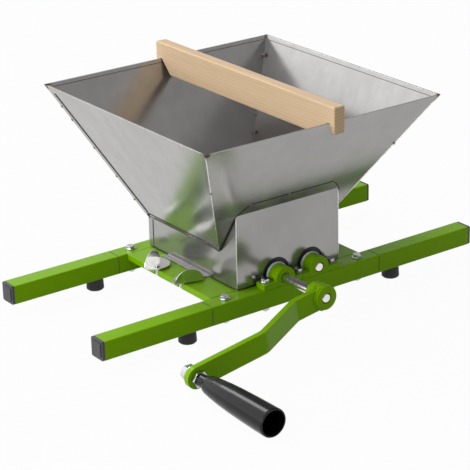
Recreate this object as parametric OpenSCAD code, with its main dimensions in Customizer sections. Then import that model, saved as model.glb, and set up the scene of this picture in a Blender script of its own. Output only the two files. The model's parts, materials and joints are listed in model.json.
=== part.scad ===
// Apple scratter: a hand crank turns two geared, toothed rollers under a square sheet hopper.
// The tube frame stands on four rubber feet, across a tub or on a bench.
// X runs along the rails, the crank is on the -Y side, Z is up and the floor is at Z = 0.

/* [Frame] */
// Width and height of the square tube
tube_w = 25; // [22:0.5:30]
// Wall of the square tube
tube_wall = 2; // [1.5:0.1:3]
// Outer corner radius of the square tube
tube_r = 1.6; // [0.8:0.1:2.4]
// Distance from the throat's outer face to the outer face of a rail
rail_offset = 20; // [17:0.5:24]
// Length of each centre rail
rail_len = 264; // [256:1:320]
// Length of the part of each leg that shows
leg_len = 155.5; // [120:0.5:220]
// Length of the leg spigot inside the rail
spigot_len = 50; // [40:1:60]
// Distance of the leg bolt from the end of the rail
leg_bolt_inset = 27; // [20:1:30]
// Thickness of the flange of the end cap
cap_flange = 3.3; // [2:0.1:5]
// Height of the raised panel on the end cap
cap_panel = 1.2; // [0.5:0.1:2]
// Depth of the end cap's plug inside the leg
cap_plug = 12; // [8:1:20]

/* [Cross members] */
// Width of the cross member along the rails
cross_w = 40; // [36:1:46]
// Distance between the inner edges of the two cross members
cross_gap = 156; // [150:1:158]
// Height of the folded lips of the cross member
cross_lip = 8.5; // [6:0.5:14]
// Thickness of the cross member sheet
cross_t = 2; // [1.5:0.1:3]

/* [Feet] */
// Height of the rubber foot
foot_h = 16; // [12:1:22]
// Diameter of the foot at its sole
foot_d = 23; // [19:1:24]
// Diameter of the foot under the tube
foot_top_d = 21.5; // [18:0.5:24]
// Distance of the foot from the inner end of the leg
foot_inset = 30; // [22:1:60]

/* [Hopper] */
// Side of the square mouth, outside the sheets
mouth_w = 354; // [330:1:380]
// Height of the rim above the rails
rim_rise = 222.4; // [200:0.1:250]
// Width of the throat along the rails, outside the sheets
throat_w = 158; // [156:0.5:164]
// Depth of the throat across the rails, outside the sheets
throat_d = 195; // [193:0.5:198]
// Thickness of the hopper sheet
sheet_t = 1; // [0.8:0.1:1.5]
// Height of the bend of the side and rear sheets above the rails
low_bend_rise = 42; // [38:0.5:50]
// Height of the bend of the front sheet above the rails
front_bend_rise = 99.5; // [90:0.5:120]
// Height of the front sheet's flange under the sloped wall
front_flange_h = 15.5; // [12:0.5:20]
// Height of the side sheets' flange under the sloped wall
side_flange_h = 6.5; // [5:0.5:10]
// Width of the folded hem round the mouth
hem_h = 9; // [6:0.5:12]
// Width of the laps that wrap the sloped corners
lap_w = 9; // [6:0.5:12]
// Gap between the front and rear sheets and the rails
sheet_gap = 2.5; // [1.5:0.1:5]
// Reach of the foot flange from the throat wall
foot_flange_w = 16.5; // [12:0.5:20]
// Length of the foot flange across the rails
foot_flange_len = 114; // [100:1:130]
// Width of the front sheet's flange on the throat sides
wrap_w = 54.5; // [45:0.5:60]
// Width of the fold along the edge of the foot flange
foot_hem_w = 8; // [6:0.5:10]
// Radius of the arches round the shafts
arch_r = 21; // [18:0.5:22]

/* [Shafts and bearings] */
// Diameter of the shafts
shaft_d = 12; // [10:0.5:14]
// Distance between the two shafts
shaft_gap = 54; // [50:1:56]
// Distance of the pair of shafts from the middle of the machine
pair_x = 7; // [0:0.5:8]
// Height of the shafts above the rails
shaft_rise = 9.3; // [9:0.1:12]
// Length of a bearing block's foot beyond its shaft
block_reach = 33.5; // [31.5:0.5:36]
// Depth of the bearing block across the rail
block_d = 16.5; // [14:0.5:18]
// Thickness of the block's foot
block_base = 7.5; // [6:0.5:9]
// Radius of the block's boss
boss_r = 14.5; // [13:0.5:16]
// Distance of the outer block bolt from the shaft
block_bolt_reach = 25; // [24:0.5:26]
// Radius of the bush flange
bush_flange_r = 15.5; // [13:0.5:17]
// Thickness of the bush flange
bush_flange = 3; // [2:0.1:3.2]
// Outer diameter of the bush
bush_d = 16; // [15:0.5:18]

/* [Rollers and gears] */
// Distance from the throat's outer faces to the ends of the rollers
roller_inset = 10.5; // [8:0.5:14]
// Diameter of the roller drum
roller_d = 40; // [36:1:42]
// Height of the knife teeth above the drum
knife_rise = 4.5; // [3:0.1:5]
// Thickness of a knife
knife_t = 2; // [1.5:0.1:3]
// Depth of the knife slot in the drum
slot_depth = 6; // [4:0.5:7]
// Number of knives on each roller
knife_count = 6; // [4:1:8]
// Number of teeth on each knife
tooth_count = 14; // [10:1:18]
// Depth of the gaps between the knife teeth
tooth_depth = 4; // [3:0.1:5]
// Number of teeth on each gear
gear_teeth = 18; // [16:1:20]
// Width of the gear rim
gear_w = 12; // [8:0.5:16]
// Diameter of the gear hub
gear_hub_d = 24; // [20:1:28]
// Length of the gear hub beyond the rim
gear_hub_len = 8; // [7:0.5:12]

/* [Crank] */
// Distance from the shaft to the grip's bolt
arm_len = 213; // [180:1:230]
// Width of the arm
arm_w = 28; // [24:0.5:30]
// Thickness of the arm
arm_t = 8; // [5:0.5:10]
// Sideways step of the arm
arm_step = 30; // [20:1:40]
// Distance from the shaft to the start of the step
step_start = 44; // [40:1:60]
// Distance from the shaft to the end of the step
step_end = 114; // [100:1:130]
// Bend radius on the inner side of the arm
arm_bend_r = 9; // [4:0.5:14]
// Diameter of the crank hub
hub_d = 31; // [29:0.5:36]
// Length of the crank hub
hub_len = 36; // [30:0.5:44]
// Shaft that shows between the block and the hub
hub_standoff = 45.5; // [30:0.5:60]
// Recess of the arm behind the front face of the hub
arm_recess = 4; // [3:0.5:14]

/* [Grip] */
// Length of the grip
grip_len = 136; // [110:1:150]
// Diameter of the grip at its open end
grip_d = 35; // [31:0.5:38]
// Wall of the grip at its open end
grip_wall = 2.2; // [1.5:0.1:3]
// Depth of the solid neck that turns on the bolt
grip_web = 75; // [60:1:90]
// Diameter of the grip's bolt
grip_bolt_d = 12; // [8:0.5:13]

/* [Wooden bar] */
// Length of the bar beyond the rim at each end
bar_overhang = 11; // [9:0.5:14]
// Thickness of the bar
bar_t = 16; // [12:0.5:20]
// Height of the bar above the rim
bar_rise = 21.6; // [15:0.1:26]
// Depth of the bar below the rim
bar_drop = 19.4; // [13:0.1:22]
// Depth of the end tabs outside the rim
bar_tab_drop = 12.4; // [8:0.1:16]
// Distance of the bar from the middle of the machine
bar_x = 9.5; // [-20:0.5:20]

/* [Turn clips] */
// Radius of the clip disc
clip_r = 20; // [17:0.5:21]
// Thickness of the clip disc
clip_t = 1.5; // [1:0.1:2]
// Distance between the two studs of one cross member
clip_gap = 53; // [48:1:60]
// Distance of the stud from the outer edge of the cross member
stud_inset = 2.5; // [2:0.1:3.5]
// Diameter of the stud in the clip
stud_d = 4; // [3:0.1:5]
// Diameter of the stud's collar
stud_collar_d = 7; // [6:0.1:9]
// Distance from the stud to the centre of the disc, along the fold
clip_along = 7; // [5:0.1:8]
// Distance from the stud to the centre of the disc, across the fold
clip_across = 8.3; // [6:0.1:9]
// Distance from the disc's centre to the fold
fold_off = 2.5; // [2:0.1:6]
// Angle between the front clips' fold and the rails
front_clip_angle = 14.5; // [0:0.5:35]
// Angle between the rear clips' fold and the rails
rear_clip_angle = 27; // [0:0.5:35]

/* [Fasteners] */
// Diameter of the frame bolts
bolt_d = 6; // [5:0.5:6]
// Width across flats of the frame bolts
bolt_af = 10; // [9:0.5:10]
// Height of the bolt heads, with their flange
bolt_head = 5; // [4:0.1:6]
// Height of the frame nuts
nut_h = 5; // [4:0.1:6]
// Diameter of the foot screws
screw_d = 5; // [4:0.1:6]
// Diameter of the grub screws
grub_d = 5; // [4:0.5:6]
// Width across flats of the grip's bolt and nuts
grip_bolt_af = 18; // [15:0.5:19]
// Height of the nut in front of the arm
grip_nut_h = 6.5; // [5:0.5:10]
// Height of the nut behind the arm
lock_nut_h = 10; // [6:0.5:12]
// Height of the head of the grip's bolt
grip_head_h = 7.5; // [5:0.1:9]
// Thickness of the washer behind the arm
washer_t = 3; // [1:0.1:4]

/* [Clearances] */
// Radial clearance of a running fit
run_fit = 0.05; // [0.02:0.01:0.1]
// Radial clearance of a hole round a bolt
bolt_fit = 0.2; // [0.1:0.05:0.3]
// Gap between faces that turn or lift past each other
face_gap = 0.3; // [0.2:0.05:0.5]
// Clearance of a plug or slot fit
slide_fit = 0.2; // [0.1:0.05:0.3]

/* [Hidden] */
$fn = 48;
PAINT = "limegreen";
STEEL = "silver";
BRIGHT = "gainsboro";
BLACK = "#222222";
NYLON = "aliceblue";
TIMBER = "burlywood";
// Corner name, side along X and side along Y of the four corners
CORNERS = [
    ["front_left", -1, -1],
    ["front_right", 1, -1],
    ["rear_left", -1, 1],
    ["rear_right", 1, 1]
];

// One overrun for all cuts
over = 1;

// Heights
rail_mid_z = foot_h + tube_w / 2;
rail_top = foot_h + tube_w;
shaft_z = rail_top + shaft_rise;
rim_z = rail_top + rim_rise;
low_bend_z = rail_top + low_bend_rise;
front_bend_z = rail_top + front_bend_rise;
sheet_z = rail_top + sheet_gap;

// Places along and across the rails
rail_out_y = throat_d / 2 + rail_offset;
rail_y = rail_out_y - tube_w / 2;
rail_in_y = rail_out_y - tube_w;
rail_end = rail_len / 2;
leg_bolt_x = rail_end - leg_bolt_inset;
foot_x = rail_end + foot_inset;
cross_in_x = cross_gap / 2;
cross_out_x = cross_in_x + cross_w;
drive_x = pair_x - shaft_gap / 2;
idler_x = pair_x + shaft_gap / 2;
block_in_y = rail_out_y - block_d;
block_mid_y = rail_out_y - block_d / 2;
block_bolt_y = rail_y + tube_w / 10;
block_wall = block_d / 5;
joint_gap = face_gap;
oil_hole_d = bolt_d / 2;

// Bolt, nut and screw sizes that follow the named ones
bolt_hole_d = bolt_d + 2 * bolt_fit;
nut_bore_d = bolt_d + 2 * run_fit;
bolt_over = bolt_d / 4;
screw_head_d = 1.8 * screw_d;
screw_head_h = screw_d * 0.6;
foot_web = foot_h / 2;

// Legs and caps
spigot_w = tube_w - 2 * tube_wall - 2 * slide_fit;
spigot_wall = tube_wall;
spigot_weld = spigot_len / 3;
leg_gap = 2 * slide_fit;
cap_r = tube_r * 1.5;
cap_panel_w = tube_w - 3 * cap_r;

// Hopper walls: each wall is a plane that starts over the throat's flange and ends at the rim
half_mouth = mouth_w / 2;
seam_step = 0.95 * sheet_t;
side_slope = (half_mouth - throat_w / 2 - seam_step) / (rim_z - low_bend_z);
front_slope = (half_mouth - throat_d / 2 - seam_step) / (rim_z - front_bend_z);
rear_slope = (half_mouth - throat_d / 2) / (rim_z - low_bend_z);
wing_x = throat_w / 2 + 2.3 * sheet_t;
wing_low_z = low_bend_z + (wing_x + sheet_t * side_slope - lap_at(low_bend_z)) / side_slope;
wrap_x = throat_w / 2 + sheet_t;
bend_lap = sheet_t / 5;
wrap_top_z = front_bend_z - 2 * bend_lap;
wrap_low_z = low_bend_z - 2 * sheet_t;
front_seam_z = front_bend_z + front_flange_h;
front_flange_z = front_seam_z + 3 * sheet_t;
front_seam_x = wrap_x - lap_w * 1.6;
side_seam_z = low_bend_z + side_flange_h;
side_flange_z = side_seam_z + 2.5 * sheet_t;
side_seam_y = throat_d * 0.2;
side_low_z = low_bend_z - sheet_t / 2;

// Guides beside the rollers
tip_r = roller_d / 2 + knife_rise;
guide_clear = tip_r + 2.5 * sheet_t;
guide_edge_z = shaft_z + tip_r * 0.4;
guide_reach = sqrt(guide_clear * guide_clear - pow(guide_edge_z - shaft_z, 2)) + sheet_t;
guide_top_z = low_bend_z - sheet_t;
guide_flange = low_bend_rise * 0.4;
guide_len = throat_d - 4 * sheet_t;

// Shafts, rollers and gears
gear_y = rail_out_y + face_gap + sheet_t / 2;
gear_end_y = gear_y + gear_w + gear_hub_len;
gear_module = shaft_gap / gear_teeth;
pressure_angle = 20;
pitch_r = shaft_gap / 2;
base_r = pitch_r * cos(pressure_angle);
root_r = pitch_r - 1.25 * gear_module;
gear_tip_r = pitch_r + gear_module;
backlash = gear_module / 10;
flat_depth = shaft_d / 24;
shaft_chamfer = shaft_d / 12;
roller_len = throat_d - 2 * roller_inset;
spacer_d = 2 * (shaft_rise - face_gap);
bush_in_y = block_in_y - bush_flange;
tooth_pitch = roller_len / tooth_count;
// Radii of the points on a gear tooth's flank, from the root to the tip
flank_radii = concat([root_r], [for (i = [0:4]) base_r + (gear_tip_r - base_r) * i / 4]);
// Seals that fill the arches round the spacers
seal_r = arch_r + sheet_t;
seal_t = 1.5 * sheet_t;
// Tooth outline: place along the pitch and height, each as a share
tooth_shares = [[0, 0], [0.38, 1], [0.5, 1], [0.88, 0]];

// Crank and grip
hub_back_y = rail_out_y + hub_standoff;
hub_front_y = hub_back_y + hub_len;
arm_front_y = hub_front_y - arm_recess;
arm_out_y = arm_front_y + arm_step;
nut_front_y = arm_out_y + grip_nut_h;
grip_y = nut_front_y + face_gap;
grip_end_y = grip_y + grip_len;
rest_gap = face_gap * 0.7;
arm_drop = asin((shaft_z - grip_d / 2 - rest_gap) / arm_len);
pivot_x = drive_x - arm_len * cos(arm_drop);
pivot_z = shaft_z - arm_len * sin(arm_drop);
// Outer shape of the grip: share of its length, share of its diameter
grip_shape_shares = [
    [0, 0.45], [0.1, 0.46], [0.104, 0.6], [0.13, 0.66], [0.22, 0.75], [0.35, 0.84], [0.5, 0.91],
    [0.7, 0.965], [0.88, 0.995], [0.98, 1], [0.994, 0.99], [1, 0.965]
];
cavity_r = grip_bolt_af * 0.72;

crank_grub_y = hub_back_y + hub_len / 4;
gear_grub_y = -gear_end_y + gear_hub_len / 2;

// Turn clips
stud_x = cross_out_x - stud_inset;
stud_y = clip_gap / 2;
notch_r = stud_collar_d / 2 + slide_fit;
clip_z = rail_top + 2 * sheet_t + slide_fit;
stud_head_h = clip_t;
stud_head_d = 1.7 * stud_d;
stud_cone_h = cross_lip * 0.4;

// Bar
bar_len = mouth_w + 2 * bar_overhang;
bar_seat_z = rim_z + slide_fit;
bar_tab_in_y = half_mouth + 2.5 * sheet_t;
bar_seat_in_y = half_mouth - 2.5 * sheet_t;
bar_low_y = half_mouth - bar_drop;

// The origin is the middle of the bounding box, on the floor
middle_y = (grip_end_y - bar_len / 2) / 2;

// Horizontal thickness of a sheet with a given slope
function skin(slope) = sheet_t * sqrt(1 + slope * slope);
// Outer faces of the hopper walls at a height
function side_at(z) = throat_w / 2 + seam_step + side_slope * (z - low_bend_z);
function front_at(z) = throat_d / 2 + seam_step + front_slope * (z - front_bend_z);
function rear_at(z) = throat_d / 2 + rear_slope * (z - low_bend_z);
// Widest place of the front and rear sheets at a height, with the lap
function lap_at(z) = side_at(z) + skin(side_slope);

// Rolled angle of an involute, in degrees
function involute(a) = tan(a) * 180 / PI - a;
// Half the angle of a gear tooth at a radius
function half_tooth(r) =
    90 / gear_teeth - backlash / pitch_r * 90 / PI
    + involute(pressure_angle) - involute(acos(min(1, base_r / r)));
function polar(r, a) = [r * cos(a), r * sin(a)];

// Points of an arc that rounds the corner b between a and c
function unit(v) = v / norm(v);
function turn(v) = [-v[1], v[0]];
function rounded(a, b, c, r, steps) =
    let (
        u = unit(a - b), w = unit(c - b),
        half = acos(u * w) / 2,
        centre = b + unit(u + w) * r / sin(half),
        start = b + u * r / tan(half) - centre,
        side = cross(u, w) > 0 ? -1 : 1,
        sweep = side * (180 - 2 * half)
    )
    [for (i = [0:steps]) let (q = sweep * i / steps)
        centre + [start[0] * cos(q) - start[1] * sin(q), start[0] * sin(q) + start[1] * cos(q)]];

// Outline of a strip of a given thickness on the left of a path, with mitred bends
function left_of(path, i, t) =
    let (
        n = len(path) - 1,
        before = i == 0 ? unit(path[1] - path[0]) : unit(path[i] - path[i - 1]),
        after = i == n ? before : unit(path[i + 1] - path[i]),
        mid = unit(turn(before) + turn(after))
    )
    path[i] + mid * t / (mid * turn(after));
function strip(path, t) = concat(
    path, [for (i = [len(path) - 1:-1:0]) left_of(path, i, t)]
);

// Places a section, drawn as across and up, along X or along Y
module along_x(length) rotate([90, 0, 90]) linear_extrude(length, center = true) children();
module along_y(length) rotate([90, 0, 0]) linear_extrude(length, center = true) children();
// Mirrors what is drawn for the +X side or for the front (-Y) side
module on_x(side) if (side < 0) mirror([1, 0, 0]) children(); else children();
module on_y(side) if (side > 0) mirror([0, 1, 0]) children(); else children();
module placed() translate([0, middle_y, 0]) children();

// Round bar between two places across the rails, both counted towards the crank
module bar_y(d, from, to)
    translate([0, -from, 0]) rotate([90, 0, 0]) cylinder(d = d, h = to - from);

module rounded_square(w, r) {
    square([w - 2 * r, w], center = true);
    square([w, w - 2 * r], center = true);
    for (x = [-1, 1], y = [-1, 1])
        translate([x * (w / 2 - r), y * (w / 2 - r)]) circle(r);
}

module tube_section(w, wall, r) difference() {
    rounded_square(w, r);
    square(w - 2 * wall, center = true);
}

module hexagon(af, h) cylinder(d = af / cos(30), h = h, $fn = 6);

// Hexagon with its corners turned off at the top
module hex_head(af, h) intersection() {
    hexagon(af, h);
    union() {
        cylinder(d = af / cos(30), h = h * 0.8);
        translate([0, 0, h * 0.8]) cylinder(d1 = af / cos(30), d2 = af * 0.95, h = h * 0.2);
    }
}

// Flanged bolt that hangs from its seat at Z = 0
module hex_bolt(d, af, head, length) {
    hex_head(af, head);
    cylinder(d = 1.3 * af, h = head / 4);
    translate([0, 0, -length]) cylinder(d = d, h = length);
}

// Nut that stands on Z = 0
module hex_nut(af, bore, h) difference() {
    hex_head(af, h);
    translate([0, 0, -over]) cylinder(d = bore, h = h + 2 * over);
}

module upright_hole(x, y, d, from, to)
    translate([x, y, from]) cylinder(d = d, h = to - from);

module rail_bolt_holes(y_side) {
    for (x = [drive_x - block_bolt_reach, pair_x, idler_x + block_bolt_reach])
        upright_hole(x, y_side * block_bolt_y, bolt_hole_d, foot_h - over, rail_top + over);
    for (x = [-1, 1])
        upright_hole(x * leg_bolt_x, y_side * rail_y, bolt_hole_d, foot_h - over, rail_top + over);
}

module rail(y_side) color(PAINT) difference() {
    translate([0, y_side * rail_y, rail_mid_z])
        along_x(rail_len) tube_section(tube_w, tube_wall, tube_r);
    rail_bolt_holes(y_side);
}

// Folded channel between the rails, with open notches for the clip studs
module cross_member(x_side) color(PAINT) on_x(x_side) difference() {
    along_y(2 * rail_in_y) polygon(strip([
        [cross_out_x, rail_top - cross_lip],
        [cross_out_x, rail_top],
        [cross_in_x, rail_top],
        [cross_in_x, rail_top - cross_lip]
    ], cross_t));
    for (y = [-1, 1]) {
        upright_hole(stud_x, y * stud_y, 2 * notch_r, rail_top - cross_lip - over, rail_top + over);
        translate([stud_x, y * stud_y - notch_r, rail_top - cross_lip - over])
            cube([stud_inset + over, 2 * notch_r, cross_lip + 2 * over]);
    }
}

// Leg tube with a spigot welded into its inner end
module leg(x_side, y_side) color(PAINT) on_x(x_side) difference() {
    translate([0, y_side * rail_y, rail_mid_z]) {
        translate([rail_end + (leg_len + leg_gap) / 2, 0, 0])
            along_x(leg_len - leg_gap) tube_section(tube_w, tube_wall, tube_r);
        translate([rail_end - spigot_len / 2 + spigot_weld / 2, 0, 0])
            along_x(spigot_len + spigot_weld) tube_section(spigot_w, spigot_wall, tube_r);
        translate([rail_end + spigot_weld / 2, 0, 0]) along_x(spigot_weld) difference() {
            square(tube_w - tube_wall, center = true);
            square(spigot_w - spigot_wall, center = true);
        }
    }
    upright_hole(leg_bolt_x, y_side * rail_y, bolt_hole_d, foot_h - over, rail_top + over);
    upright_hole(foot_x, y_side * rail_y, screw_d + 2 * run_fit, foot_h - over, rail_mid_z);
}

// Plug with a rounded flange and a raised panel
module cap(x_side, y_side) color(BLACK) on_x(x_side)
    translate([rail_end + leg_len, y_side * rail_y, rail_mid_z]) {
        translate([cap_flange / 2, 0, 0]) along_x(cap_flange) rounded_square(tube_w, cap_r);
        translate([cap_flange + cap_panel / 2, 0, 0])
            along_x(cap_panel) rounded_square(cap_panel_w, cap_r);
        translate([-cap_plug / 2, 0, 0]) along_x(cap_plug) tube_section(spigot_w, tube_wall, tube_r);
    }

// Rubber foot with a counterbore for its screw and a rounded sole edge
module foot(x_side, y_side) color(BLACK)
    translate([x_side * foot_x, y_side * rail_y, 0]) difference() {
        rotate_extrude() polygon([
            [0, 0],
            [foot_d / 2 - screw_head_h / 2, 0],
            [foot_d / 2, screw_head_h / 2],
            [foot_d / 2, foot_h / 4],
            [foot_top_d / 2, foot_h],
            [0, foot_h]
        ]);
        translate([0, 0, -over]) cylinder(d = screw_head_d + 2 * bolt_fit, h = foot_h - foot_web + over);
        translate([0, 0, -over]) cylinder(d = screw_d + 2 * bolt_fit, h = foot_h + 2 * over);
    }

module foot_screws() color(BRIGHT) for (c = CORNERS)
    translate([c[1] * foot_x, c[2] * rail_y, foot_h - foot_web]) {
        translate([0, 0, -screw_head_h]) cylinder(d = screw_head_d, h = screw_head_h);
        cylinder(d = screw_d, h = foot_web + 2 * tube_wall);
    }

module leg_bolts() color(BRIGHT) for (c = CORNERS)
    translate([c[1] * leg_bolt_x, c[2] * rail_y, rail_top])
        hex_bolt(bolt_d, bolt_af, bolt_head, tube_w + nut_h + bolt_over);

module block_bolts() color(BRIGHT)
    for (x = [drive_x - block_bolt_reach, pair_x, idler_x + block_bolt_reach], y = [-1, 1])
        translate([x, y * block_bolt_y, rail_top + block_base])
            hex_bolt(bolt_d, bolt_af, bolt_head, block_base + tube_w + nut_h + bolt_over);

module frame_nuts() color(BRIGHT) {
    for (c = CORNERS) translate([c[1] * leg_bolt_x, c[2] * rail_y, foot_h])
        mirror([0, 0, 1]) hex_nut(bolt_af, nut_bore_d, nut_h);
    for (x = [drive_x - block_bolt_reach, pair_x, idler_x + block_bolt_reach], y = [-1, 1])
        translate([x, y * block_bolt_y, foot_h]) mirror([0, 0, 1]) hex_nut(bolt_af, nut_bore_d, nut_h);
}

// Section of an upright sheet that is bent outwards: place outwards, heights of the bend and the top
module bent_section(out, bend_z, top_z, slope) polygon([
    [out, sheet_z],
    [out, bend_z],
    [out + slope * (top_z - bend_z), top_z],
    [out + slope * (top_z - bend_z) - skin(slope), top_z],
    [out - sheet_t, bend_z + (skin(slope) - sheet_t) / slope],
    [out - sheet_t, sheet_z]
]);

// The rim is folded outwards and down against the wall
module hem_section(slope) polygon([
    [half_mouth - skin(slope) / 2 - slope * hem_h, rim_z - hem_h],
    [half_mouth + skin(slope) - slope * hem_h, rim_z - hem_h],
    [half_mouth + skin(slope), rim_z],
    [half_mouth - skin(slope) / 2, rim_z]
]);

// Straight stretch of a sloped sheet between two heights: place outwards at each, thickness across
module slope_section(low_z, high_z, low_out, high_out, across) polygon([
    [low_out, low_z],
    [high_out, high_z],
    [high_out - across, high_z],
    [low_out - across, low_z]
]);

// Arches in the front and rear sheets, open at the bottom
module arches() for (x = [drive_x, idler_x])
    translate([x, 0, shaft_z]) along_y(mouth_w) circle(arch_r);

// Points mirrored to the other side, so that an outline is written once
function both_sides(half) = concat(half, [for (i = [len(half) - 1:-1:0]) [-half[i][0], half[i][1]]]);

// Front sheets: the throat's sheet is bent high and its flange lies under the sloped wall
module hopper_front() color(STEEL) difference() {
    union() {
        // Sloped wall with a hem, and wings that go on down outside the throat
        intersection() {
            along_x(mouth_w + lap_w) mirror([1, 0, 0]) {
                slope_section(wing_low_z, rim_z, front_at(wing_low_z), half_mouth, skin(front_slope));
                hem_section(front_slope);
            }
            along_y(mouth_w + lap_w) polygon(both_sides([
                [lap_at(rim_z), rim_z],
                [lap_at(wing_low_z), wing_low_z],
                [wing_x, wing_low_z],
                [wing_x, front_bend_z],
                [front_seam_x, front_seam_z]
            ]));
        }
        // Throat sheet with its top flange, and its side flanges outside the throat
        intersection() {
            along_x(mouth_w) mirror([1, 0, 0])
                bent_section(throat_d / 2, front_bend_z, front_flange_z, front_slope);
            along_y(mouth_w) polygon(both_sides([
                [front_seam_x, front_flange_z],
                [wrap_x, front_bend_z - bend_lap],
                [wrap_x, sheet_z]
            ]));
        }
        for (side = [-1, 1]) translate([side * (wrap_x - sheet_t / 2), 0, 0]) along_x(sheet_t) polygon([
            [-throat_d / 2, sheet_z],
            [-throat_d / 2, wrap_top_z],
            [sheet_t / 2 - throat_d / 2, wrap_top_z],
            [sheet_t * 0.85 - front_at(wrap_low_z), wrap_low_z],
            [wrap_w - throat_d / 2, wrap_low_z - low_bend_rise * 0.4],
            [wrap_w - throat_d / 2, sheet_z]
        ]);
        // Laps over the side sheets
        for (side = [-1, 1]) on_x(side) intersection() {
            along_y(mouth_w) slope_section(
                wing_low_z, rim_z, lap_at(wing_low_z), lap_at(rim_z), skin(side_slope)
            );
            along_x(mouth_w) polygon([
                [sheet_t / 2 - front_at(wing_low_z), wing_low_z],
                [sheet_t - front_at(wing_low_z), wing_low_z],
                [lap_w - front_at(low_bend_z + lap_w), low_bend_z + lap_w],
                [lap_w - front_at(rim_z - hem_h), rim_z - hem_h],
                [sheet_t / 2 - front_at(rim_z - hem_h), rim_z - hem_h]
            ]);
        }
    }
    arches();
}

// Rear sheet: bent low, so that its corners run straight to the throat
module hopper_rear() color(STEEL) difference() {
    union() {
        intersection() {
            along_x(mouth_w + lap_w) {
                bent_section(throat_d / 2, low_bend_z, rim_z, rear_slope);
                hem_section(rear_slope);
            }
            along_y(mouth_w + lap_w) polygon(both_sides([
                [lap_at(rim_z), rim_z],
                [lap_at(low_bend_z), low_bend_z],
                [wrap_x, low_bend_z],
                [wrap_x, sheet_z]
            ]));
        }
        for (side = [-1, 1]) translate([side * (wrap_x - sheet_t / 2), 0, 0]) along_x(sheet_t) polygon([
            [throat_d / 2, sheet_z],
            [throat_d / 2, wrap_low_z],
            [throat_d / 2 - lap_w, wrap_low_z],
            [throat_d / 2 - lap_w, sheet_z]
        ]);
        for (side = [-1, 1]) on_x(side) intersection() {
            along_y(mouth_w) slope_section(
                low_bend_z, rim_z, lap_at(low_bend_z), lap_at(rim_z), skin(side_slope)
            );
            along_x(mouth_w) polygon([
                [rear_at(low_bend_z) - sheet_t / 2, low_bend_z],
                [rear_at(rim_z - hem_h) - sheet_t / 2, rim_z - hem_h],
                [rear_at(rim_z - hem_h) - lap_w, rim_z - hem_h],
                [rear_at(low_bend_z + lap_w) - lap_w, low_bend_z + lap_w]
            ]);
        }
    }
    arches();
}

// Side sheets: a throat sheet on a foot flange that the turn clips hold down, and a sloped wall
module hopper_side(x_side) color(STEEL) on_x(x_side) {
    intersection() {
        along_y(mouth_w) {
            bent_section(throat_w / 2, low_bend_z, side_flange_z, side_slope);
            translate([throat_w / 2 - sheet_t, rail_top]) square([sheet_t, 2 * sheet_gap]);
            translate([throat_w / 2 - sheet_t, rail_top]) square([sheet_t + foot_flange_w, sheet_t]);
            translate([throat_w / 2 + foot_flange_w - foot_hem_w, rail_top])
                square([foot_hem_w, 2 * sheet_t]);
        }
        along_x(2 * mouth_w) polygon([
            [-foot_flange_len / 2, rail_top],
            [foot_flange_len / 2, rail_top],
            [foot_flange_len / 2, sheet_z],
            [throat_d / 2 - sheet_t, sheet_z],
            [throat_d / 2 - sheet_t, low_bend_z],
            [rear_at(side_flange_z) - skin(rear_slope) - bend_lap, side_flange_z],
            [skin(front_slope) + bend_lap - front_at(side_flange_z), side_flange_z],
            [skin(front_slope) + bend_lap - front_at(low_bend_z - sheet_t), low_bend_z - sheet_t],
            [sheet_t - throat_d / 2, low_bend_z - sheet_t],
            [sheet_t - throat_d / 2, sheet_z],
            [-foot_flange_len / 2, sheet_z]
        ]);
    }
    // Wall over the flange; its lower edge drops to the front wing
    intersection() {
        along_y(mouth_w) {
            slope_section(side_low_z, rim_z, side_at(side_low_z), half_mouth, skin(side_slope));
            hem_section(side_slope);
        }
        along_x(2 * mouth_w) polygon([
            [-side_seam_y, side_seam_z],
            [rear_at(side_seam_z) - skin(rear_slope), side_seam_z],
            [half_mouth - skin(rear_slope), rim_z],
            [skin(front_slope) - half_mouth, rim_z],
            [skin(front_slope) - front_at(side_low_z), side_low_z]
        ]);
    }
}

// Folded guide that leads the fruit from the throat wall onto the roller
module guide(x_side, roller_x) color(STEEL) on_x(x_side) along_y(guide_len) polygon(strip([
    [throat_w / 2 - sheet_t, guide_top_z - guide_flange],
    [throat_w / 2 - sheet_t, guide_top_z],
    [x_side * roller_x + guide_reach, guide_edge_z]
], sheet_t));

// Cast block on the rail: side -1 is the drive shaft, side 1 the idler; one bolt is shared
module bearing_block(x_side, y_side) color(PAINT)
    translate([pair_x, 0, 0]) on_x(x_side) on_y(y_side) difference() {
        translate([shaft_gap / 2, -block_mid_y, 0]) along_y(block_d) {
            translate([(joint_gap - shaft_gap) / 2, rail_top])
                square([block_reach + (shaft_gap - joint_gap) / 2, block_base]);
            translate([-boss_r, rail_top]) square([2 * boss_r, shaft_rise]);
            intersection() {
                translate([0, shaft_z]) circle(boss_r);
                translate([-boss_r, rail_top]) square(2 * boss_r);
            }
        }
        translate([shaft_gap / 2, 0, shaft_z]) {
            bar_y(bush_d, block_in_y - over, rail_out_y - block_wall);
            bar_y(shaft_d + 8 * bolt_fit, block_in_y, rail_out_y + over);
        }
        upright_hole(shaft_gap / 2, -block_mid_y, oil_hole_d, shaft_z, shaft_z + boss_r + over);
        for (x = [shaft_gap / 2 + block_bolt_reach, 0])
            upright_hole(x, -block_bolt_y, bolt_hole_d, rail_top - over, rail_top + block_base + over);
    }

// Nylon bush with a flange that is cut flat over the rail
module bush(x_side, y_side) color(NYLON) on_y(y_side)
    translate([pair_x + x_side * shaft_gap / 2, 0, shaft_z]) difference() {
        union() {
            bar_y(bush_d, block_in_y - sheet_t, rail_out_y - block_wall);
            intersection() {
                bar_y(2 * bush_flange_r, bush_in_y, block_in_y);
                translate([-bush_flange_r, -rail_out_y, face_gap - shaft_rise])
                    cube([2 * bush_flange_r, rail_out_y, 2 * bush_flange_r]);
            }
        }
        bar_y(shaft_d + 2 * run_fit, bush_in_y - over, rail_out_y);
    }

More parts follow.
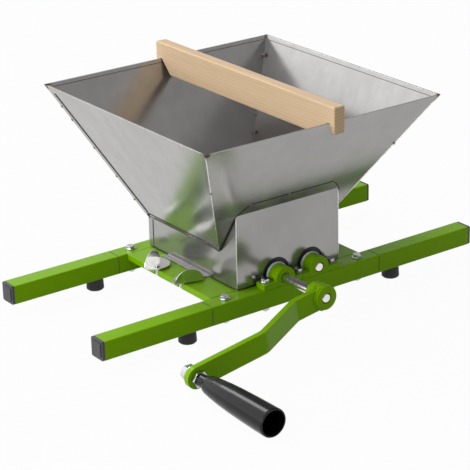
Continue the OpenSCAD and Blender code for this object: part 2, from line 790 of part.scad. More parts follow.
// Rubber rings that close the arches round the spacers, cut flat over the rails
module shaft_seals() color(BLACK) for (x = [drive_x, idler_x], side = [-1, 1])
    on_y(side) translate([x, 0, shaft_z]) difference() {
        bar_y(2 * seal_r, throat_d / 2 - sheet_t - seal_t, throat_d / 2 - sheet_t);
        bar_y(spacer_d + 2 * face_gap, 0, throat_d / 2);
        translate([-seal_r - over, -throat_d / 2, -seal_r - over])
            cube([2 * (seal_r + over), throat_d / 2, seal_r + over - shaft_rise + face_gap]);
    }

// Chamfered shaft between two places across the rails, with a flat under each grub screw
module shaft(from, to, flats) color(BRIGHT) difference() {
    translate([0, -from, 0]) rotate([90, 0, 0]) {
        cylinder(d1 = shaft_d - 2 * shaft_chamfer, d2 = shaft_d, h = shaft_chamfer);
        translate([0, 0, shaft_chamfer]) cylinder(d = shaft_d, h = to - from - 2 * shaft_chamfer);
        translate([0, 0, to - from - shaft_chamfer])
            cylinder(d1 = shaft_d, d2 = shaft_d - 2 * shaft_chamfer, h = shaft_chamfer);
    }
    for (f = flats) rotate([0, f[1], 0]) translate([-shaft_d / 2, -f[0] - grub_d, shaft_d / 2 - flat_depth])
        cube([shaft_d, 2 * grub_d, shaft_d]);
}

// Drum with a slot for each knife
module roller(phase) color(BRIGHT) rotate([0, phase, 0]) difference() {
    bar_y(roller_d, -roller_len / 2, roller_len / 2);
    bar_y(shaft_d + 2 * run_fit, -roller_len / 2 - over, roller_len / 2 + over);
    for (i = [0:knife_count - 1]) rotate([0, i * 360 / knife_count, 0])
        translate([-knife_t / 2 - run_fit, -roller_len / 2 - over, roller_d / 2 - slot_depth])
            cube([knife_t + 2 * run_fit, roller_len + 2 * over, slot_depth + over]);
}

// Toothed strips that stand in the slots of the drum
module knives(phase) color(STEEL) rotate([0, phase, 0])
    for (i = [0:knife_count - 1]) rotate([0, i * 360 / knife_count, 0])
        along_x(knife_t) translate([-roller_len / 2, 0]) polygon(concat(
            [[0, roller_d / 2 - slot_depth + run_fit], [0, tip_r - tooth_depth]],
            [for (k = [0:tooth_count - 1], s = tooth_shares)
                [(k + s[0]) * tooth_pitch + tooth_pitch * 0.06, tip_r - tooth_depth * (1 - s[1])]],
            [[roller_len, tip_r - tooth_depth], [roller_len, roller_d / 2 - slot_depth + run_fit]]
        ));

// Sleeves between the roller and the bushes
module spacers() color(BRIGHT) for (side = [-1, 1]) on_y(side) difference() {
    bar_y(spacer_d, roller_len / 2 + run_fit, bush_in_y - face_gap);
    bar_y(shaft_d + 2 * run_fit, roller_len / 2, bush_in_y);
}

// Involute spur gear with a hub on its outer side
module gear(phase) color(STEEL) difference() {
    rotate([0, phase, 0]) union() {
        translate([0, gear_y + gear_w / 2, 0]) along_y(gear_w) polygon([
            for (k = [0:gear_teeth - 1]) let (mid = k * 360 / gear_teeth)
                each concat(
                    [for (r = flank_radii) polar(r, mid - half_tooth(max(r, base_r)))],
                    [for (i = [len(flank_radii) - 1:-1:0])
                        polar(flank_radii[i], mid + half_tooth(max(flank_radii[i], base_r)))]
                )
        ]);
        bar_y(gear_hub_d, -gear_end_y, -gear_y - gear_w / 2);
    }
    bar_y(shaft_d + 2 * run_fit, -gear_end_y - over, over - gear_y);
    grub_bore(gear_grub_y, gear_hub_d, 0);
}

// Radial hole and grub screw at a place across the rails, turned about the shaft
module grub_bore(place, boss_d, angle) rotate([0, angle, 0]) translate([0, -place, 0])
    cylinder(d = grub_d + 2 * run_fit, h = boss_d / 2 + over);
module grub(place, boss_d, angle) color(BLACK) rotate([0, angle, 0])
    translate([0, -place, shaft_d / 2 - flat_depth]) difference() {
        cylinder(d = grub_d, h = boss_d / 2 - shaft_d / 2 + flat_depth - sheet_t / 2);
        translate([0, 0, (boss_d - shaft_d) / 4]) hexagon(grub_d / 2, boss_d);
    }

module at_shaft(x) translate([x, 0, shaft_z]) children();

module drive_shaft() at_shaft(drive_x)
    shaft(-gear_end_y, hub_front_y, [[gear_grub_y, 0], [crank_grub_y, 180]]);
module idler_shaft() at_shaft(idler_x) shaft(-gear_end_y, rail_out_y, [[gear_grub_y, 0]]);

module crank_hub() color(PAINT) at_shaft(drive_x) difference() {
    bar_y(hub_d, hub_back_y, hub_front_y);
    bar_y(shaft_d + 2 * run_fit, hub_back_y - over, hub_front_y + over);
    bar_y(shaft_d + 2 * shaft_chamfer, hub_front_y - 2 * shaft_chamfer, hub_front_y + over);
    grub_bore(crank_grub_y, hub_d, 180);
}

// Flat bar with a sideways step, welded to the hub and rounded at the grip
module crank_arm() color(PAINT) at_shaft(drive_x) rotate([0, 180 - arm_drop, 0]) {
    back = [[0, -arm_front_y + arm_t], [step_start, -arm_front_y + arm_t],
        [step_end, -arm_out_y + arm_t], [arm_len + arm_w, -arm_out_y + arm_t]];
    difference() {
        intersection() {
            linear_extrude(arm_w, center = true) polygon(strip(concat(
                [back[3]],
                rounded(back[3], back[2], back[1], arm_bend_r + arm_t, 5),
                rounded(back[2], back[1], back[0], arm_bend_r, 5),
                [back[0]]
            ), arm_t));
            along_y(3 * arm_out_y) {
                translate([0, -arm_w / 2]) square([arm_len, arm_w]);
                translate([arm_len, 0]) circle(arm_w / 2);
            }
        }
        bar_y(hub_d + 2 * run_fit, 0, hub_front_y + over);
        translate([arm_len, 0, 0]) bar_y(grip_bolt_d + 2 * bolt_fit, 0, arm_out_y + over);
    }
}

module at_pivot() translate([pivot_x, 0, pivot_z]) children();
module bolt_hex(from, to, af) translate([0, -from, 0]) rotate([90, 0, 0]) hexagon(af, to - from);

// Bolt whose head sits inside the grip and whose thread is locked to the arm by two nuts
module grip_bolt() color(BRIGHT) at_pivot() {
    bar_y(grip_bolt_d, arm_out_y - arm_t - washer_t - lock_nut_h - bolt_over, grip_y + grip_web + face_gap);
    bolt_hex(grip_y + grip_web + face_gap, grip_y + grip_web + face_gap + grip_head_h, grip_bolt_af);
}

module grip_nuts() color(BRIGHT) at_pivot() difference() {
    union() {
        bolt_hex(arm_out_y, nut_front_y, grip_bolt_af);
        bolt_hex(arm_out_y - arm_t - washer_t - lock_nut_h, arm_out_y - arm_t - washer_t, grip_bolt_af);
    }
    bar_y(grip_bolt_d + 2 * run_fit, 0, nut_front_y + over);
}

module grip_washer() color(BRIGHT) at_pivot() difference() {
    bar_y(grip_bolt_af * 4 / 3, arm_out_y - arm_t - washer_t, arm_out_y - arm_t);
    bar_y(grip_bolt_d + 2 * bolt_fit, 0, arm_out_y);
}

// Hollow grip: a swelling outside, a bore in the neck and a cavity with a flared mouth
module crank_grip() color(BLACK) at_pivot() translate([0, -grip_y, 0]) rotate([90, 0, 0])
    rotate_extrude() polygon(concat(
        [for (s = grip_shape_shares) [s[1] * grip_d / 2, s[0] * grip_len]],
        [
            [grip_d / 2 - grip_wall, grip_len],
            [cavity_r, grip_web + grip_head_h * 2],
            [cavity_r, grip_web],
            [grip_bolt_d / 2 + run_fit, grip_web],
            [grip_bolt_d / 2 + run_fit, 0]
        ]
    ));

// Bar with notches that sit over the rim and tabs outside it
module wooden_bar() color(TIMBER) translate([bar_x, 0, 0]) along_x(bar_t) polygon(both_sides([
    [bar_len / 2, rim_z + bar_rise],
    [bar_len / 2, rim_z - bar_tab_drop],
    [bar_tab_in_y, rim_z - bar_tab_drop],
    [bar_tab_in_y, bar_seat_z],
    [bar_seat_in_y, bar_seat_z],
    [bar_low_y, rim_z - bar_drop]
]));

// Stud: a low head over the clip, a collar in the notch and a cone under it
module clip_studs() color(BRIGHT) for (x = [-1, 1], y = [-1, 1]) translate([x * stud_x, y * stud_y, 0]) {
    translate([0, 0, clip_z + clip_t + slide_fit]) cylinder(d = stud_head_d, h = stud_head_h);
    translate([0, 0, rail_top]) cylinder(d = stud_d, h = clip_z - rail_top + clip_t + 2 * slide_fit);
    translate([0, 0, rail_top - cross_t]) cylinder(d = stud_collar_d, h = cross_t + 2 * sheet_t);
    translate([0, 0, rail_top - cross_t - stud_cone_h])
        cylinder(d1 = stud_d, d2 = stud_collar_d, h = stud_cone_h);
    translate([0, 0, rail_top - cross_lip]) cylinder(d = stud_d, h = cross_lip - cross_t);
}

// Disc folded up along a chord, drawn for the front left corner and turned about its stud
module clip(x_side, y_side, angle) color(STEEL)
    translate([x_side * stud_x, y_side * stud_y, clip_z]) on_x(-x_side) on_y(y_side)
        rotate([0, 0, -angle]) difference() {
            translate([clip_along, -clip_across, 0]) {
                intersection() {
                    cylinder(r = clip_r, h = clip_t);
                    translate([-clip_r, -fold_off, 0]) cube([2 * clip_r, 2 * clip_r, clip_t]);
                }
                translate([0, -fold_off, 0]) rotate([90, 0, 0]) linear_extrude(clip_t) intersection() {
                    translate([0, -fold_off]) circle(clip_r);
                    translate([-clip_r, 0]) square([2 * clip_r, clip_r]);
                }
            }
            translate([0, 0, -over]) cylinder(d = stud_d + 2 * run_fit, h = clip_t + 2 * over);
        }

placed() rail(-1);  // front_rail
placed() rail(1);  // rear_rail
placed() cross_member(-1);  // left_cross_member
placed() cross_member(1);  // right_cross_member
for (c = CORNERS) {
    placed() leg(c[1], c[2]);
    placed() cap(c[1], c[2]);
    placed() foot(c[1], c[2]);
    placed()
        clip(c[1], c[2], c[2] < 0 ? front_clip_angle : rear_clip_angle);
}
placed() foot_screws();
placed() leg_bolts();
placed() block_bolts();
placed() frame_nuts();
placed() hopper_front();
placed() hopper_rear();
placed() hopper_side(-1);  // hopper_left
placed() hopper_side(1);  // hopper_right
placed() guide(-1, drive_x);  // left_guide
placed() guide(1, idler_x);  // right_guide
for (end = [["front", -1], ["rear", 1]], line = [["drive", -1], ["idler", 1]]) {
    placed() bearing_block(line[1], end[1]);
    placed() bush(line[1], end[1]);
}
placed() shaft_seals();
placed() clip_studs();
placed() drive_shaft();
placed() idler_shaft();
placed() at_shaft(drive_x) roller(0);  // drive_roller
placed() at_shaft(idler_x) roller(180 / knife_count);  // idler_roller
placed() at_shaft(drive_x) knives(0);  // drive_knives
placed() at_shaft(idler_x) knives(180 / knife_count);  // idler_knives
placed() at_shaft(drive_x) spacers();  // drive_spacers
placed() at_shaft(idler_x) spacers();  // idler_spacers
placed() at_shaft(drive_x) gear(0);  // drive_gear
placed() at_shaft(idler_x) gear(180 / gear_teeth);  // idler_gear
placed() at_shaft(drive_x) grub(gear_grub_y, gear_hub_d, 0);  // drive_grub
placed() at_shaft(idler_x) grub(gear_grub_y, gear_hub_d, 0);  // idler_grub
placed() crank_hub();
placed() crank_arm();
placed() at_shaft(drive_x) grub(crank_grub_y, hub_d, 180);  // crank_grub
placed() grip_bolt();
placed() grip_nuts();
placed() grip_washer();
placed() crank_grip();
placed() wooden_bar();
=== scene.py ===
"""Looks, light and camera of the apple scratter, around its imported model. Lengths are in metres."""
import json
import math
import bmesh
import bpy
from mathutils import Matrix, Vector

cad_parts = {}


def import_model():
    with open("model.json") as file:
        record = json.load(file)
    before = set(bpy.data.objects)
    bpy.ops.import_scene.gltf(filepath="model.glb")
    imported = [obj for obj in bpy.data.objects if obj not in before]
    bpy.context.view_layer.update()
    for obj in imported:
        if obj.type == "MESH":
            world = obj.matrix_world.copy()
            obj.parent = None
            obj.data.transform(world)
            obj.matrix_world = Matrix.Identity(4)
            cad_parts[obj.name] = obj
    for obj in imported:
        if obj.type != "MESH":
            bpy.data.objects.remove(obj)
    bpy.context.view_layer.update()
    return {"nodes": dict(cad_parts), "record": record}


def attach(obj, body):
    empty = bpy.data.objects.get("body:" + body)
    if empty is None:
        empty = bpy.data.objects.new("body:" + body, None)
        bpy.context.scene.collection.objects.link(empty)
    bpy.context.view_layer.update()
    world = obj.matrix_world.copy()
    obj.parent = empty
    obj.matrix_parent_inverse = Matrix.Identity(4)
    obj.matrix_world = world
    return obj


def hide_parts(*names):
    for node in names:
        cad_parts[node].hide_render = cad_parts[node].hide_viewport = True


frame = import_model()
NODES = frame["nodes"]
BODIES = {node: body for body, names in frame["record"]["behaviour"]["bodies"].items()
          for node in names}
SLOTS = {part["node"]: part["material_slot"] for part in frame["record"]["subparts"]}

# Places repeated from the part's source, with x and y from the machine's middle
MIDDLE_Y = 0.0899
RIM_Z = 0.2634
HALF_MOUTH = 0.177
FRONT_BEND_Z = 0.1405
FRONT_SEAM_Z = 0.156
FRONT_SEAM_X = 0.0656
LOW_BEND_Z = 0.083
SIDE_SEAM_Z = 0.0895
SIDE_SEAM_Y = 0.039
HALF_THROAT_W = 0.079
HALF_THROAT_D = 0.0975
SIDE_FOOT_X = 0.07995       # outer face of a side wall at the low bend
FRONT_FOOT_Y = 0.09845      # outer face of the front wall at its bend
SIDE_SLOPE = 0.538          # how far a wall leans out for each metre up
FRONT_SLOPE = 0.639
REAR_SLOPE = 0.441
WING_X = 0.0813
WING_TIP_Z = 0.0844
HEM = 0.009
HEM_IN = 0.0012             # the hem's line inside the outer faces
LAP = 0.009
SHAFT_Z = 0.0503
DRIVE_X = -0.020
ARM_TOWARD = (-0.988, -0.153)   # x and z of the direction from the shaft to the grip
RAIL_TOP = 0.041
RAIL_Y = 0.105
TUBE = 0.025
JOINT_X = 0.1322            # where the leg tubes meet the rails
BAR_ENDS = (0.1868, 0.1876)     # the bar's ends, just inside and just outside

# The side sheets' foot flange, as the photograph shows it
FLANGE_TOP = 0.04345
FLANGE_SHARE = 0.56         # its width, against the solid's
FLANGE_END_Y = 0.036        # its front end, and below its rear end
FLANGE_REAR_Y = 0.057

# The crank hub, as the photograph shows it
HUB_FRONT_Y = -0.199
HUB_BACK_Y = -0.175
HUB_R = 0.0155
HUB_EDGE = 0.0009
HUB_BORE_R = 0.00605
HUB_SINK_R = (0.0072, 0.0070)   # the shallow sink in its front, at the mouth and at the floor
HUB_SINK_DEPTH = 0.002
HUB_WELD_YS = (-0.1955, -0.1865)
HUB_WELD_RING = 0.0160
HUB_WELD_R = 0.0014
HUB_WELD_SPREAD = 72.0      # degrees each way from the arm
HUB_WELD_STEP = 4.8
GRUB_SHIFT = (0.0, -0.010, 0.0)

# Radii of the thin lines and welds between sheets
SEAM_R = 0.0007
WING_SEAM_R = 0.0009
BEND_R = 0.0004
FRONT_LAP_R = 0.00055
HEM_R = 0.00035
WELD_OUT = 0.0007           # how far a bright corner cord, weld and painted highlight, stands out of the side sheet
STRIP_R = 0.00135
TUBE_JOINT_R = 0.0005

# Radius and height of the weld drops
DROP = (0.0021, 0.0011)
SEAM_DROP = (0.0017, 0.0009)
INNER_DROP = (0.0022, 0.0012)
INNER_GAP = 0.0018          # from the outer faces to the inside of a corner

# The photograph's camera, from a fit to edges and corners of the rails and the hopper
AZIMUTH = math.radians(-35.73)
ELEVATION = math.radians(21.83)
ROLL = math.radians(-1.34)
DISTANCE = 2.368
TARGET = Vector((-0.0476, 0.0399, 0.0938))
SENSOR = 36.0
FOCAL_PIXELS = 1887.3
FRAME_PIXELS = 470
LENS = FOCAL_PIXELS / FRAME_PIXELS * SENSOR

# The studio: a dim room with soft bright regions, each a direction, where its edge starts
# and ends as a cosine, and its strength
DIM = 0.16
GLOWS = [
    ((-0.62, 0.74, 0.25), -0.15, 0.90, 1.50),
    ((0.54, -0.78, 0.30), 0.45, 0.95, 0.34),
]
LAMP_AIM = (0.0, MIDDLE_Y, 0.12)
LAMPS = [                   # name, place, width, height, watts
    ("overhead", (-0.45, 0.20, 2.4), 0.8, 0.8, 8.0),
    ("left", (-2.3, 0.15, 0.75), 0.9, 0.9, 20.0),
    ("back", (-0.05, 2.0, 2.0), 1.1, 0.8, 17.0),
]
FLOOR_REACH = 14.0
FLOOR_WHITE = 0.96          # share of plain white in what is seen of the floor

CLIPS = ("front_left_clip", "front_right_clip", "rear_left_clip", "rear_right_clip")

# Nodes with rounded edges: the radius, and the length above which an edge is rounded
ROUNDED = [(name, 0.0020, 0.015) for name in (
    "front_rail", "rear_rail", "front_left_leg", "front_right_leg",
    "rear_left_leg", "rear_right_leg")]
ROUNDED += [(name, 0.0012, 0.006) for name in (
    "left_cross_member", "right_cross_member", "front_drive_block", "front_idler_block",
    "rear_drive_block", "rear_idler_block", "front_left_cap", "front_right_cap",
    "rear_left_cap", "rear_right_cap")]
ROUNDED += [(name, 0.0004, 0.0) for name in CLIPS]
ROUNDED += [("crank_arm", 0.0010, 0.0), ("wooden_bar", 0.0016, 0.006)]


# Materials

class Graph:
    """The node tree of one material, with short calls for the nodes used here."""

    def __init__(self, name):
        self.material = bpy.data.materials.new(name)
        self.material.use_nodes = True
        self.nodes = self.material.node_tree.nodes
        self.links = self.material.node_tree.links
        self.shader = self.nodes["Principled BSDF"]
        self.place = self.node("TexCoord").outputs["Object"]

    def node(self, kind, settings=None, inputs=None):
        made = self.nodes.new("ShaderNode" + kind)
        for key, value in (settings or {}).items():
            setattr(made, key, value)
        for key, value in (inputs or {}).items():
            self.feed(made.inputs[key], value)
        return made

    def feed(self, socket, value):
        if isinstance(value, bpy.types.NodeSocket):
            self.links.new(value, socket)
        elif isinstance(value, tuple) and len(value) == 3 and len(socket.default_value) == 4:
            socket.default_value = value + (1.0,)
        else:
            socket.default_value = value

    def surface(self, **values):
        """Set or link the shader's sockets, named with _ for a space."""
        for key, value in values.items():
            socket = key.replace("_", " ").title().replace("Ior", "IOR")
            self.feed(self.shader.inputs[socket], value)

    def vector(self, operation, first, second):
        return self.node("VectorMath", {"operation": operation}, {0: first, 1: second}).outputs

    def scaled(self, by, at=None):
        return self.vector("MULTIPLY", at or self.place, by)[0]

    def noise(self, scale, detail=2.0, rough=0.5, at=None):
        return self.node("TexNoise", None, {
            "Vector": at or self.place, "Scale": scale, "Detail": detail, "Roughness": rough,
        }).outputs[0]

    def spread(self, value, low, high, to_low, to_high, smooth=False):
        settings = {"interpolation_type": "SMOOTHSTEP" if smooth else "LINEAR"}
        return self.node("MapRange", settings, {
            "Value": value, "From Min": low, "From Max": high,
            "To Min": to_low, "To Max": to_high,
        }).outputs[0]

    def math(self, operation, first, second=0.0):
        return self.node("Math", {"operation": operation}, {0: first, 1: second}).outputs[0]

    def mix(self, share, first, second):
        return self.node("MixRGB", None,
                         {"Fac": share, "Color1": first, "Color2": second}).outputs[0]

    def blend(self, value, low, high, first, second):
        """From the first colour to the second, as the value goes from low to high."""
        return self.mix(self.spread(value, low, high, 0.0, 1.0), first, second)

    def near(self, point, radius):
        """1 at the point, 0 from the radius on."""
        gap = self.vector("DISTANCE", self.place, point)["Value"]
        return self.spread(gap, 0.0, radius, 1.0, 0.0, smooth=True)

    def rounding(self, radius):
        """Shading normal with its edges rounded off."""
        return self.node("Bevel", {"samples": 8}, {"Radius": radius}).outputs[0]

    def bump(self, height, distance, strength=1.0, normal=None):
        made = self.node("Bump", None,
                         {"Height": height, "Distance": distance, "Strength": strength})
        if normal is not None:
            self.feed(made.inputs["Normal"], normal)
        return made.outputs[0]


def painted():
    """Glossy green powder coat with a fine orange peel."""
    g = Graph("green_powder_coat")
    colour = g.blend(g.noise(14.0, 3.0), 0.3, 0.7, (0.168, 0.362, 0.0001), (0.182, 0.385, 0.0002))
    peel = g.noise(260.0, 1.0)
    g.surface(Base_Color=colour, Roughness=g.spread(peel, 0.3, 0.7, 0.20, 0.26),
              Normal=g.bump(peel, 0.00002, 0.25, g.rounding(0.0008)),
              Specular_IOR_Level=0.14, Specular_Tint=(0.6, 0.95, 0.1))
    return g.material


def sheet_steel(name, grain, burns=(), light=(0.435, 0.427, 0.422), dark=(0.385, 0.377, 0.372)):
    """Mill-finish stainless sheet: fine rolled lines, a slow waviness and burnt weld spots."""
    g = Graph(name)
    lines = g.noise(1.0, 3.0, 0.6, g.scaled(grain))
    cloud = g.noise(11.0, 3.0)
    colour = g.blend(cloud, 0.3, 0.7, dark, light)
    stain = g.noise(48.0, 6.0, 0.68, g.scaled((1.0, 1.0, 0.6)))
    colour = g.mix(g.spread(stain, 0.38, 0.72, 0.0, 0.30), colour, (0.255, 0.245, 0.235))
    rough = g.math("ADD", g.spread(lines, 0.2, 0.8, 0.14, 0.20),
                   g.spread(cloud, 0.3, 0.7, 0.0, 0.05))
    metal = 0.82
    if burns:
        total = None
        for point, radius in burns:
            spot = g.near(point, radius)
            total = spot if total is None else g.math("MAXIMUM", total, spot)
        ragged = g.math("MULTIPLY", total, g.spread(g.noise(330.0, 3.0), 0.25, 0.7, 0.45, 1.25))
        halo = g.spread(ragged, 0.08, 0.45, 0.0, 1.0, smooth=True)
        core = g.spread(ragged, 0.42, 0.75, 0.0, 1.0, smooth=True)
        colour = g.mix(g.math("MULTIPLY", halo, 0.75), colour, (0.26, 0.17, 0.085))
        colour = g.mix(core, colour, (0.022, 0.014, 0.010))
        rough = g.math("ADD", rough, g.math("MULTIPLY", core, 0.4))
        metal = g.math("SUBTRACT", metal, g.math("MULTIPLY", core, 0.7))
    wavy = g.bump(g.noise(6.5, 1.0), 0.0008, 1.0, g.rounding(0.0006))
    g.surface(Base_Color=colour, Metallic=metal, Roughness=rough,
              Normal=g.bump(lines, 0.000003, 0.5, wavy))
    return g.material


def plated(name, colour, dark, low, high, lines=None):
    """Plated or machined metal, its roughness from low to high: a fine mottle, or turning
    lines where they are given."""
    g = Graph(name)
    mottle = g.noise(420.0, 3.0)
    height = mottle if lines is None else g.noise(1.0, 2.0, 0.6, g.scaled(lines))
    g.surface(Base_Color=g.blend(g.noise(60.0, 2.0), 0.3, 0.7, colour, dark), Metallic=1.0,
              Roughness=g.spread(mottle, 0.3, 0.7, low, high),
              Normal=g.bump(height, 0.00001, 0.6, g.rounding(0.0004)))
    return g.material


def moulded(name, colour, light, low, high, grain, depth, edge, gloss=0.5):
    """Moulded plastic or rubber, its roughness from low to high, with a fine grain of the
    given scale and depth, and edges rounded by the given radius."""
    g = Graph(name)
    skin = g.noise(grain, 2.0)
    g.surface(Base_Color=g.blend(g.noise(35.0, 3.0), 0.3, 0.7, colour, light),
              Roughness=g.spread(skin, 0.3, 0.7, low, high), Specular_IOR_Level=gloss,
              Normal=g.bump(skin, depth, 0.5, g.rounding(edge)))
    return g.material


def planed_wood():
    """Light wood: year rings round an axis along the bar, so that its ends show arcs."""
    ring_x, ring_z, rings_per_metre = 0.030, 0.215, 250.0
    g = Graph("planed_light_wood")
    wander = g.node("TexNoise", None, {
        "Vector": g.scaled((9.0, 3.0, 9.0)), "Scale": 1.0, "Detail": 2.0}).outputs[1]
    bent = g.vector("ADD", g.place, g.scaled((0.012, 0.0, 0.012), wander))[0]
    split = g.node("SeparateXYZ", None, {0: bent})
    across = g.math("SUBTRACT", split.outputs[0], ring_x)
    down = g.math("SUBTRACT", split.outputs[2], ring_z)
    reach = g.math("SQRT", g.math("ADD", g.math("MULTIPLY", across, across),
                                  g.math("MULTIPLY", down, down)))
    ring = g.math("FRACT", g.math("MULTIPLY", reach, rings_per_metre))
    late = g.spread(ring, 0.55, 0.98, 0.0, 1.0, smooth=True)
    fibre = g.noise(1.0, 4.0, 0.65, g.scaled((1500.0, 22.0, 1500.0)))
    streak = g.noise(1.0, 3.0, 0.5, g.scaled((160.0, 4.0, 160.0)))
    # The rings show more at the bar's sawn ends than along it
    place_y = g.node("SeparateXYZ", None, {0: g.place}).outputs[1]
    along = g.math("ABSOLUTE", g.math("SUBTRACT", place_y, MIDDLE_Y))
    contrast = g.spread(along, *BAR_ENDS, 0.30, 0.85)
    colour = g.mix(g.math("MULTIPLY", late, contrast), (0.60, 0.44, 0.275), (0.42, 0.26, 0.125))
    colour = g.mix(g.spread(streak, 0.35, 0.7, 0.0, 0.5), colour, (0.62, 0.46, 0.31))
    colour = g.mix(g.spread(fibre, 0.50, 0.78, 0.0, 0.45), colour, (0.36, 0.215, 0.10))
    g.surface(Base_Color=colour, Roughness=g.spread(fibre, 0.3, 0.7, 0.5, 0.68),
              Specular_IOR_Level=0.3,
              Normal=g.bump(fibre, 0.00006, 0.6, g.rounding(0.0009)))
    return g.material


def painted_gap_shade():
    """Painted shade of the gaps between sheets and between tubes: near black, with some dirt and
    burnt metal in lighter patches.
    """
    g = Graph("gap_shade_and_dirt")
    patches = g.noise(240.0, 3.0)
    colour = g.blend(patches, 0.35, 0.75, (0.006, 0.005, 0.005), (0.045, 0.040, 0.034))
    g.surface(Base_Color=colour, Metallic=0.3, Roughness=g.spread(patches, 0.3, 0.7, 0.45, 0.7),
              Normal=g.bump(patches, 0.00005, 0.5))
    return g.material


def weld_metal():
    """Weld drops: bright metal tinted brown and nearly black by the heat."""
    g = Graph("weld_drops")
    patches = g.noise(520.0, 3.0)
    colour = g.blend(patches, 0.35, 0.62, (0.05, 0.035, 0.022), (0.34, 0.27, 0.19))
    g.surface(Base_Color=colour, Metallic=0.8, Roughness=g.spread(patches, 0.3, 0.7, 0.25, 0.45),
              Normal=g.bump(patches, 0.00008, 0.6))
    return g.material


def pale_floor():
    """White floor: what the camera and reflections see of it is mostly plain white, with a
    soft shadow."""
    g = Graph("pale_floor")
    g.surface(Base_Color=(0.50, 0.50, 0.50), Roughness=0.9, Specular_IOR_Level=0.0)
    path = g.node("LightPath").outputs
    seen = g.math("MAXIMUM", path["Is Camera Ray"],
                  g.math("MAXIMUM", path["Is Glossy Ray"], path["Is Transmission Ray"]))
    plain = g.node("Emission", None, {"Color": (1.0, 1.0, 1.0), "Strength": 1.0})
    both = g.node("MixShader")
    g.feed(both.inputs[0], g.math("MULTIPLY", seen, FLOOR_WHITE))
    g.links.new(g.shader.outputs[0], both.inputs[1])
    g.links.new(plain.outputs[0], both.inputs[2])
    g.links.new(both.outputs[0], g.nodes["Material Output"].inputs["Surface"])
    return g.material


# Places on the hopper's outer faces. x_side and y_side are -1 or 1.

def side_at(z):
    return SIDE_FOOT_X + SIDE_SLOPE * (z - LOW_BEND_Z)


def front_at(z):
    return FRONT_FOOT_Y + FRONT_SLOPE * (z - FRONT_BEND_Z)


def rear_at(z):
    return HALF_THROAT_D + REAR_SLOPE * (z - LOW_BEND_Z)


def at(x, y, z):
    return Vector((x, y + MIDDLE_Y, z))


def on_side(x_side, y, z, out=0.0):
    """A point on a side wall, or a little outside it."""
    return at(x_side * (side_at(z) + out), y, z)


def rim_corner(x_side, y_side):
    return (x_side * HALF_MOUTH, MIDDLE_Y + y_side * HALF_MOUTH, RIM_Z)


# Weld drops: side and height at the hopper's outer corners, height at the inner corners,
# x and height on the front seam, y and height on the side seams
CORNER_TACKS = [(x_side, 1, z) for x_side in (-1, 1)
                for z in (0.2340, 0.2160, 0.1780, 0.1390, 0.1070)]
CORNER_TACKS += [(x_side, -1, 0.1960) for x_side in (-1, 1)]
INNER_TACKS = (0.2400, 0.2150, 0.1700)
SEAM_TACKS = [(-FRONT_SEAM_X, FRONT_SEAM_Z), (-0.006, FRONT_SEAM_Z), (FRONT_SEAM_X, FRONT_SEAM_Z)]
SIDE_TACKS = [(-SIDE_SEAM_Y, SIDE_SEAM_Z), (0.094, SIDE_SEAM_Z)]

# Burnt spots, a place and a radius each: at the rim's corners, the ends of the seams, and
# inside the rear right corner
SEAM_FACE_Y = MIDDLE_Y - 0.1085     # the outer faces at the seams
SEAM_FACE_X = -0.0835
FRONT_BURNS = [
    (rim_corner(-1, -1), 0.013), (rim_corner(1, -1), 0.009),
    ((-FRONT_SEAM_X, SEAM_FACE_Y, FRONT_SEAM_Z), 0.004),
    ((FRONT_SEAM_X, SEAM_FACE_Y, FRONT_SEAM_Z), 0.005),
]
LEFT_BURNS = [
    (rim_corner(-1, -1), 0.014), (rim_corner(-1, 1), 0.014),
    ((SEAM_FACE_X, MIDDLE_Y - SIDE_SEAM_Y, SIDE_SEAM_Z), 0.005),
    ((SEAM_FACE_X, MIDDLE_Y + HALF_THROAT_D, SIDE_SEAM_Z), 0.006),
]
RIGHT_BURNS = [(rim_corner(1, -1), 0.009), (rim_corner(1, 1), 0.009)]
RIGHT_BURNS += [((side_at(z) - 0.0015, MIDDLE_Y + rear_at(z) - 0.007, z), 0.0065)
                for z in (0.240, 0.215, 0.150)]
REAR_BURNS = [(rim_corner(-1, 1), 0.014), (rim_corner(1, 1), 0.008)]

# Scales of fine lines: along x or y on sheets, round y on turned pieces
GRAIN_X = (60.0, 900.0, 900.0)
GRAIN_Y = (900.0, 60.0, 900.0)
GROUND_LINES = (30.0, 2600.0, 30.0)
TURNED_LINES = (30.0, 1800.0, 30.0)

LOOKS = {
    "green_paint": painted(),
    "stainless_sheet": sheet_steel("stainless", GRAIN_X),
    "bright_zinc": plated("zinc", (0.54, 0.55, 0.57), (0.42, 0.42, 0.43), 0.12, 0.22),
    "ground_steel": plated("ground", (0.82, 0.80, 0.78), (0.74, 0.72, 0.70), 0.18, 0.28,
                           GROUND_LINES),
    "black_steel": plated("blackened", (0.05, 0.05, 0.05), (0.03, 0.03, 0.03), 0.35, 0.5),
    "turned_aluminium": plated("aluminium", (0.68, 0.68, 0.69), (0.6, 0.6, 0.61), 0.26, 0.36,
                               TURNED_LINES),
    "black_plastic": moulded("cap_plastic", (0.030, 0.030, 0.034), (0.040, 0.040, 0.045),
                             0.42, 0.52, 1500.0, 0.00004, 0.0007),
    "grip_plastic": moulded("grip_gloss", (0.003, 0.003, 0.004), (0.005, 0.005, 0.007),
                            0.14, 0.20, 700.0, 0.000004, 0.0006, 0.26),
    "foot_rubber": moulded("rubber", (0.016, 0.016, 0.017), (0.024, 0.024, 0.025),
                           0.6, 0.75, 1100.0, 0.00005, 0.0008),
    "nylon": moulded("nylon_white", (0.62, 0.68, 0.75), (0.68, 0.73, 0.79),
                     0.34, 0.44, 900.0, 0.00001, 0.0005),
    "light_wood": planed_wood(),
}
CLIP_STEEL = plated("clip_steel", (0.60, 0.60, 0.59), (0.52, 0.52, 0.51), 0.12, 0.20)
# Bright steel for the corner cords: weld colour lifted into a painted highlight on the corner edges
WELD_AND_HIGHLIGHT_STEEL = plated("weld_steel_painted_highlight", (0.80, 0.80, 0.79), (0.70, 0.70, 0.69), 0.20, 0.30)
